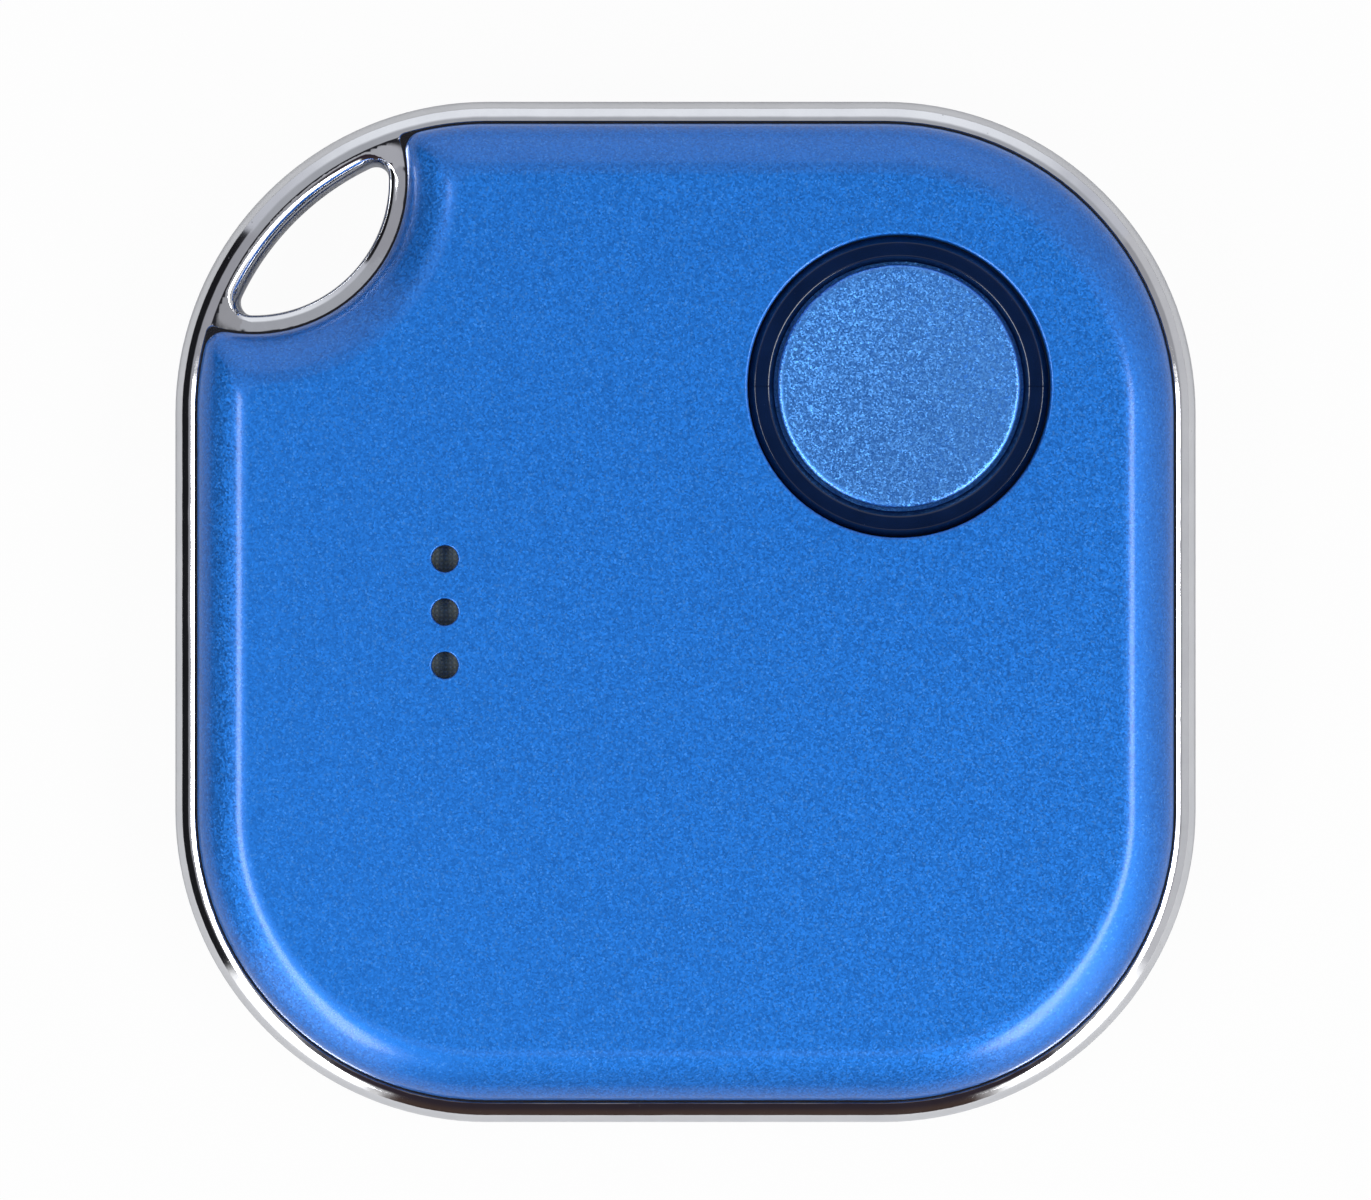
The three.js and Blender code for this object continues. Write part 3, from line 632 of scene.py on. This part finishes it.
def battery_door():
    """A flat door with a rail down each side, a screw slot at its end and a grip to push it by."""
    door = keep_inside(skin(turned_over(cover_rings())), slab(door_outline(0), -1, DOOR_WALL_TOP))
    cut(door, slab(cover_outline(SKIRT_IN - 0.2), COVER_SKIN, FAR))
    for side in (-1, 1):
        join(door, door_rail(side))
    join(door, slab(rectangle(-2.4, 2.4, SCREW[1] - 2.6, DOOR_END_Y - 0.02), COVER_SKIN - 0.1, 0.9))
    for radius, top in ((SCREW_SEAT_R, SCREW_SEAT_TOP), (SCREW_HOLE_R, FAR)):
        cut(door, round_bar(SCREW, radius, -1, top))
        cut(door, slab(rectangle(-radius, radius, SCREW[1], FAR), -1, top))
    for i in range(GRIP_COUNT):
        y = GRIP_Y - i * GRIP_PITCH
        ends = arc((GRIP_HALF_W, y), GRIP_R, -math.pi / 2, math.pi / 2, 8)
        ends += arc((-GRIP_HALF_W, y), GRIP_R, math.pi / 2, 1.5 * math.pi, 8)
        cut(door, slab(ends, -1, GRIP_DEPTH))
    return door


def door_rail(side):
    """A rail that stands proud of the door's side, on a web that ties it to the door."""
    inner, end = DOOR_HALF_W - 0.8, DOOR_END_Y - DOOR_CORNER_R
    across = sorted([side * inner, side * (DOOR_HALF_W + RAIL_W)])
    rail = slab(rectangle(*across, -FAR, end), *RAIL_Z)
    across = sorted([side * inner, side * DOOR_HALF_W])
    join(rail, slab(rectangle(*across, -FAR, end), COVER_SKIN - 0.1, RAIL_Z[1] - 0.02))
    return keep_inside(rail, skin(turned_over(cover_rings())))


def loop_frame():
    """A band with rounded edges, opened out at one corner into the key loop."""
    band = skin(band_rings())
    cut(band, slab(cover_outline(BAND_WALL), 0, THICKNESS))
    seat = seat_rings()
    cut(band, skin(seat), skin(turned_over(seat)))
    cut(band, skin(opening_rings()))
    corner = circles_meet((-CORNER, CORNER), COVER_R + BAND_GAP - POCKET_INSET,
                          NOTCH, NOTCH_R - BAND_GAP + POCKET_INSET)
    for at in (corner, across_diagonal(corner)):
        cut(band, round_bar(at, POCKET_R, MID_Z + 0.3, FAR, 24))
        cut(band, round_bar(at, POCKET_R, -FAR, MID_Z - 0.3, 24))
    cut(band, saddle(1), saddle(-1))
    return band


def band_rings():
    rings = []
    for a in sweep(0, math.pi / 2, 18):
        radius = BAND_R - BAND_ROUND_R * (1 - math.cos(a))
        rings.append((square_outline(radius), BAND_TOP - BAND_ROUND_R + BAND_ROUND_R * math.sin(a)))
    return turned_over(rings) + rings


def opening_rings():
    """The key loop's opening, which rounds off deep on its strut and shallow on its rim."""
    rings = []
    for a in sweep(0, math.pi / 2, 18):
        depth = STRUT_ROUND_H * (1 - math.sin(a))
        rise = min(1.0, max(0.0, 1 - (depth - WEB_SLOPE) / RIM_ROUND_H))
        strut, rim = STRUT_ROUND * (1 - math.cos(a)), RIM_ROUND * (1 - math.sqrt(1 - rise * rise))
        rings.append((loop_outline(strut, rim), BAND_TOP - depth))
    rings.append((loop_outline(STRUT_ROUND, RIM_ROUND), THICKNESS))
    return turned_over(rings) + rings


def seat_rings():
    """A cutter for the seat that a cover drops into, with a rounded lip at its mouth."""
    rings = [(seat_outline(0), MID_Z + LEDGE_HALF_H), (seat_outline(0), BAND_TOP - SEAT_LIP)]
    for a in sweep(0, math.pi / 2, 6)[1:]:
        out = SEAT_LIP * (1 - math.cos(a))
        rings.append((seat_outline(out), BAND_TOP - SEAT_LIP + (SEAT_LIP + 0.01) * math.sin(a)))
    return rings + [(seat_outline(SEAT_LIP), FAR)]


def seat_outline(out):
    """A cover's outline with a hair of room, moved out by this much more."""
    return cover_outline(-BAND_GAP - out, SEAT_TIP_R)


def saddle_sink(x, y):
    """How far the frame's face sinks at a point of the loop: webs behind the strut's crest, then the rim."""
    inside = CREST_R - math.hypot(x + CORNER, y - CORNER)
    if inside <= 0:
        return 0.0
    past_crest = min(1.0, inside * inside / (inside + 0.2))
    from_notch = math.hypot(x - NOTCH[0], y - NOTCH[1])
    near = min(1.0, 3.0 * max(0.0, 1.0 - from_notch / SADDLE_SPAN))
    into_rim = min(RIM_ROUND, max(0.0, NOTCH_R - BAND_GAP - from_notch))
    return past_crest * near * (WEB_SLOPE + RIM_SLOPE * into_rim)


def saddle(side):
    """A cutter whose curved face slopes the loop's webs and rim down towards the opening."""
    tool = bmesh.new()
    rows, count = [], SADDLE_CELLS
    for i in range(count + 1):
        row = []
        for j in range(count + 1):
            x = SADDLE_CORNER[0] + SADDLE_SIDE * i / count
            y = SADDLE_CORNER[1] + SADDLE_SIDE * j / count
            z = MID_Z + side * (BAND_HALF_H + 0.004 - saddle_sink(x, y))
            row.append(tool.verts.new((x, y, z)))
        rows.append(row)
    for a, b in zip(rows, rows[1:]):
        for i in range(count):
            tool.faces.new((a[i], b[i], b[i + 1], a[i + 1]))
    edge = [row[0] for row in rows] + rows[-1][1:]
    edge += [row[-1] for row in rows[-2::-1]] + rows[0][-2:0:-1]
    lid = [tool.verts.new((v.co.x, v.co.y, MID_Z + side * 4)) for v in edge]
    for i in range(len(edge)):
        j = (i + 1) % len(edge)
        tool.faces.new((edge[i], edge[j], lid[j], lid[i]))
    tool.faces.new(lid)
    return new_piece("saddle", tool)


# ---------------------------------------------------------------- button, light ring and screw

def button_cap():
    """A cap with a dished face and a flange that keeps it in, on a stub that presses the switch."""
    stub = [(0, 4.45), (0.9, 4.45), (0.9, 5.1), (3.6, 5.1)]
    flange = [(3.6, 4.55), (4.65, 4.55), (4.65, 4.88), (4.26, 4.88)]
    shoulder = [(4.26, 5.70), (4.245, 5.76), (4.20, 5.81), (4.14, 5.84), (4.06, 5.85)]
    dish = [(3.95, 5.844), (3.2, 5.80), (2.2, 5.752), (1.1, 5.722), (0, 5.71)]
    return turned(BUTTON, stub + flange + shoulder + dish, 128)


def light_ring():
    """A ring that leads light up from its feet, with a flange under the cover and two fine cuts across."""
    flange = [(4.80, 4.50), (5.50, 4.50), (5.50, 4.75), (6.10, 4.75), (6.10, 5.15), (5.24, 5.15)]
    outside = [(5.24, 5.40), (5.22, 5.44), (5.08, 5.575), (5.05, 5.595), (5.01, RING_TOP)]
    inside = [(4.60, RING_TOP), (4.56, 5.595), (4.53, 5.575), (4.40, 5.44), (4.38, 5.40)]
    ring = turned(BUTTON, flange + outside + inside + [(4.38, 4.93), (4.80, 4.93)], 128)
    for side in (-1, 1):
        x = sorted([BUTTON[0] + side * 4.3, BUTTON[0] + side * 5.4])
        cut(ring, slab(rectangle(*x, BUTTON[1] - 0.02, BUTTON[1] + 0.02), RING_TOP - 0.03, THICKNESS))
    for degrees in FEET_TURNS:
        a = math.radians(degrees)
        at = (BUTTON[0] + FEET_CIRCLE_R * math.cos(a), BUTTON[1] + FEET_CIRCLE_R * math.sin(a))
        join(ring, round_bar(at, FOOT_R, *FOOT_Z, 24))
    return ring


def door_screw():
    """A pan head with a cross cut in it, on a threaded shank."""
    head = [(0, 0.08), (0.95, 0.08), (1.12, 0.095), (1.24, 0.14), (1.3, 0.22), (1.3, 0.55), (0.6, 0.55)]
    screw = turned(SCREW, head + thread() + [(0.35, 2.9), (0, 2.9)], 64)
    for angle in (math.pi / 4, -math.pi / 4):
        blade = slab(rectangle(-0.75, 0.75, -0.15, 0.15), -0.17, 0.33)
        blade.data.transform(Matrix.Translation((*SCREW, 0.0)) @ Matrix.Rotation(angle, 4, "Z"))
        cut(screw, blade)
    return screw


def thread():
    """The crests and roots along the screw's shank."""
    rows = [(0.6, 0.85)]
    for i in range(8):
        z = 0.95 + i * 0.22
        rows += [(0.5, z), (0.6, z + 0.11)]
    return rows + [(0.55, 2.72)]


# ---------------------------------------------------------------- coin cell

def cell_can():
    """The cell's can: a flat bottom, a rounded wall, and a lip that curls in over the gasket."""
    rim, middle, quarter = CELL_TOP - 0.25, CELL_R - CURL_R, sweep(0, math.pi / 2, 8)
    foot = [(middle + CURL_R * math.sin(a), CELL_BOTTOM + CURL_R - CURL_R * math.cos(a)) for a in quarter]
    lip = [(middle + CURL_R * math.cos(a), rim - CURL_R + CURL_R * math.sin(a)) for a in quarter]
    bottom = [(0, CELL_BOTTOM + 0.02), (7.6, CELL_BOTTOM + 0.02), (7.75, CELL_BOTTOM)]
    well = [(CELL_R - 0.7, rim), (CELL_R - 0.7, rim - 0.25), (0, rim - 0.25)]
    return turned(CELL, bottom + foot + lip + well, 160)


def cell_cap():
    """The other pole: a disc with a rounded edge."""
    edge, low = CELL_R - 1.1, CELL_TOP - 0.47
    side = [(0, low), (edge, low), (edge, CELL_TOP - 0.15), (edge - 0.05, CELL_TOP - 0.06)]
    return turned(CELL, side + [(edge - 0.16, CELL_TOP - 0.01), (edge - 0.3, CELL_TOP), (0, CELL_TOP)], 128)


def cell_gasket():
    """The ring that keeps the two poles apart."""
    low, high, inner, outer = CELL_TOP - 0.47, CELL_TOP - 0.18, CELL_R - 1.05, CELL_R - 0.74
    return turned(CELL, [(inner, low), (outer, low), (outer, high - 0.04), (outer - 0.04, high),
                         (inner + 0.04, high), (inner, high - 0.04)], 128)


def from_cad(node, width):
    """A CAD solid's own shape with its edges rounded off."""
    piece = bpy.data.objects.new(node, frame["nodes"][node].data.copy())
    bpy.context.scene.collection.objects.link(piece)
    piece.data.transform(frame["nodes"][node].matrix_world)
    piece.data.transform(Matrix.Scale(1 / MM, 4))
    tool = bmesh.new()
    tool.from_mesh(piece.data)
    bmesh.ops.remove_doubles(tool, verts=tool.verts, dist=0.002)
    bmesh.ops.dissolve_limit(tool, angle_limit=math.radians(1), verts=tool.verts, edges=tool.edges)
    tool.to_mesh(piece.data)
    tool.free()
    return soften(piece, width)


# ---------------------------------------------------------------- the tag

def build_tag():
    """Pieces with a shape of their own here, then every other one in its CAD shape with softened edges."""
    finishes = all_finishes()
    shaped = {
        "front_cover": front_cover, "rear_cover": rear_cover, "battery_door": battery_door,
        "loop_frame": loop_frame, "button_cap": button_cap, "light_ring": light_ring,
        "door_screw": door_screw, "cell_can": cell_can, "cell_cap": cell_cap, "cell_gasket": cell_gasket,
    }
    for node, make in shaped.items():
        stand_for(make(), node, finishes[SLOT[node]])
    for node in BODY:
        if node not in shaped:
            low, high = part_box(node)
            width = min(0.06, 0.12 * min(high - low) / MM)
            stand_for(from_cad(node, width), node, finishes[SLOT[node]])


# ---------------------------------------------------------------- studio

def floor():
    """Pale paper that the tag lies on, plain white to the eye and grey to the plating."""
    tool = bmesh.new()
    bmesh.ops.create_grid(tool, x_segments=24, y_segments=24, size=1.5)
    made = new_piece("floor", tool)
    material, f = new_finish("pale_floor")
    place = f.place()
    tone = f.noise(place, 0.01, 3.0)
    paper = f.shader(base_color=f.mix(tone, (0.50, 0.50, 0.50), (0.54, 0.54, 0.54)), roughness=0.85)
    glow = f.node("ShaderNodeEmission", None, {"Color": colour((1.0, 1.0, 1.0))})
    seen = f.node("ShaderNodeLightPath", output="Is Camera Ray") * 0.96
    lit = f.node("ShaderNodeMixShader", None, {0: seen, 1: paper, 2: glow})
    f.node("ShaderNodeOutputMaterial", None, {"Surface": lit})
    made.data.materials.append(material)


def soft_box(name, corner, long_side, short_side, power):
    """A lit rectangle, from one corner and its two sides, that faces the tag."""
    corner, along, across = Vector(corner), Vector(long_side), Vector(short_side)
    light = bpy.data.lights.new(name, "AREA")
    light.shape = "RECTANGLE"
    light.size, light.size_y = along.length, across.length
    light.energy = power
    lamp = bpy.data.objects.new(name, light)
    middle = corner + (along + across) / 2
    x, y = along.normalized(), across.normalized()
    if x.cross(y).dot(middle) < 0:
        x = -x
    turn = Matrix((x, y, x.cross(y))).transposed().to_4x4()
    lamp.matrix_world = Matrix.Translation(middle) @ turn
    bpy.context.scene.collection.objects.link(lamp)


def soft_boxes():
    """One on each side, sloping down and outwards to the front, for the bright lines along the covers."""
    for name, side in (("left_box", -1), ("right_box", 1)):
        corner, short_side = (side * 0.178, 0.04, 0.364), (side * 0.07, 0, -0.056)
        soft_box(name, corner, (0, -0.41, -0.164), short_side, 0.95)


def studio_air():
    """Walls and a card that the plated frame mirrors, which look like one plain pale wall to the eye."""
    world = bpy.data.worlds.new("studio")
    world.use_nodes = True
    bpy.context.scene.world = world
    f = Finish(world.node_tree)
    way = f.node("ShaderNodeTexCoord", output="Generated")
    x, y, z = f.axes(f.vector("NORMALIZE", way))
    flat = (x * x + y * y + 0.00001) ** 0.5
    side, ahead = x / flat, y / flat
    left = f.mix(f.fade(z, 0.54, 0.62), (0.012, 0.012, 0.014), (0.36, 0.36, 0.39))
    right = f.mix(f.fade(z, 0.55, 0.68), (0.60, 0.60, 0.62), (0.36, 0.36, 0.38))
    back = f.mix(f.fade(ahead, 0.72, 0.95), (0.60, 0.61, 0.66), (0.92, 0.94, 0.98))
    back = f.mix(f.fade(z, 0.60, 0.78), back, (0.42, 0.43, 0.46))
    front = f.mix(f.fade(z, 0.25, 0.75), (0.065, 0.042, 0.036), (0.03, 0.022, 0.03))
    front = f.mix(f.fade(z, 0.85, 0.90), front, (0.46, 0.46, 0.49))
    walls = f.mix(f.fade(side, -0.35, 0.35), left, right)
    walls = f.mix(f.fade(ahead, 0.58, 0.62), walls, back)
    walls = f.mix(f.fade(ahead, -0.72, -0.86), walls, front)
    card = f.fade(ahead, -0.50, -0.58) * f.fade(ahead, -0.95, -0.90) * f.fade(z, 0.68, 0.55)
    walls = f.mix(card, walls, (1.4, 1.4, 1.4))
    walls = f.mix(f.fade(z, 0.970, 0.986), walls, (0.02, 0.02, 0.024))
    seen = f.node("ShaderNodeLightPath", output="Is Camera Ray")
    shade = f.mix(seen, walls, (0.92, 0.92, 0.92))
    air = f.node("ShaderNodeBackground", None, {"Color": shade})
    f.node("ShaderNodeOutputWorld", None, {"Surface": air})


def camera():
    """Looks straight down at the front face."""
    eye = bpy.data.cameras.new("eye")
    eye.sensor_width = SENSOR
    eye.lens = SENSOR * CAMERA_DISTANCE / VIEW_WIDTH
    eye.clip_start, eye.clip_end = 0.01, 10
    made = bpy.data.objects.new("eye", eye)
    made.location = (0.0, CAMERA_Y * MM, (MID_Z + CAMERA_DISTANCE) * MM)
    bpy.context.scene.collection.objects.link(made)
    bpy.context.scene.camera = made


build_tag()
floor()
studio_air()
soft_boxes()
camera()
bpy.context.scene.view_settings.view_transform = "Standard"
